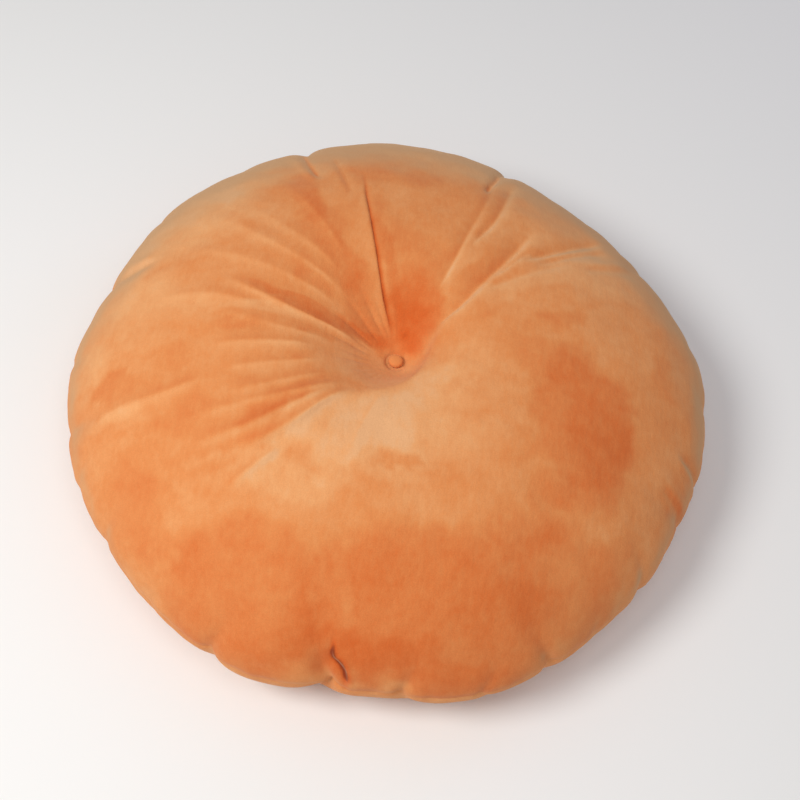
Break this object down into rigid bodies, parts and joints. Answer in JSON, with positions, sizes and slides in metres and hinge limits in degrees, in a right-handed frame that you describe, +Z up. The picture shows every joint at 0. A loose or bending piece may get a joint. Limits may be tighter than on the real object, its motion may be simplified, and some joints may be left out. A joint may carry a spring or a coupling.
{
  "type": "round tufted velvet cushion",
  "caption": "Round filled velvet cushion, crowned, with a gathered rim seam, radiating folds and a deep middle hollow held by a small covered button.",
  "frame": {"origin": "centre of the cushion's outline, on the surface that it lies on", "axes": "+Z up out of the buttoned top; the seam lies round the rim; +Y points to the side with the one deep crease, and -Y to the side with the tuck above the rim"},
  "size_m": [0.4462, 0.4422, 0.1303],
  "materials": {
    "panel_velvet": "short plush velvet, brushed into paler and darker patches, soft sheen",
    "button_velvet": "short plush velvet pulled over a small dome, soft sheen"
  },
  "bodies": {
    "root": {"cushion_body": "panel_velvet", "top_button": "button_velvet", "back_button": "button_velvet"}
  },
  "joints": []
}
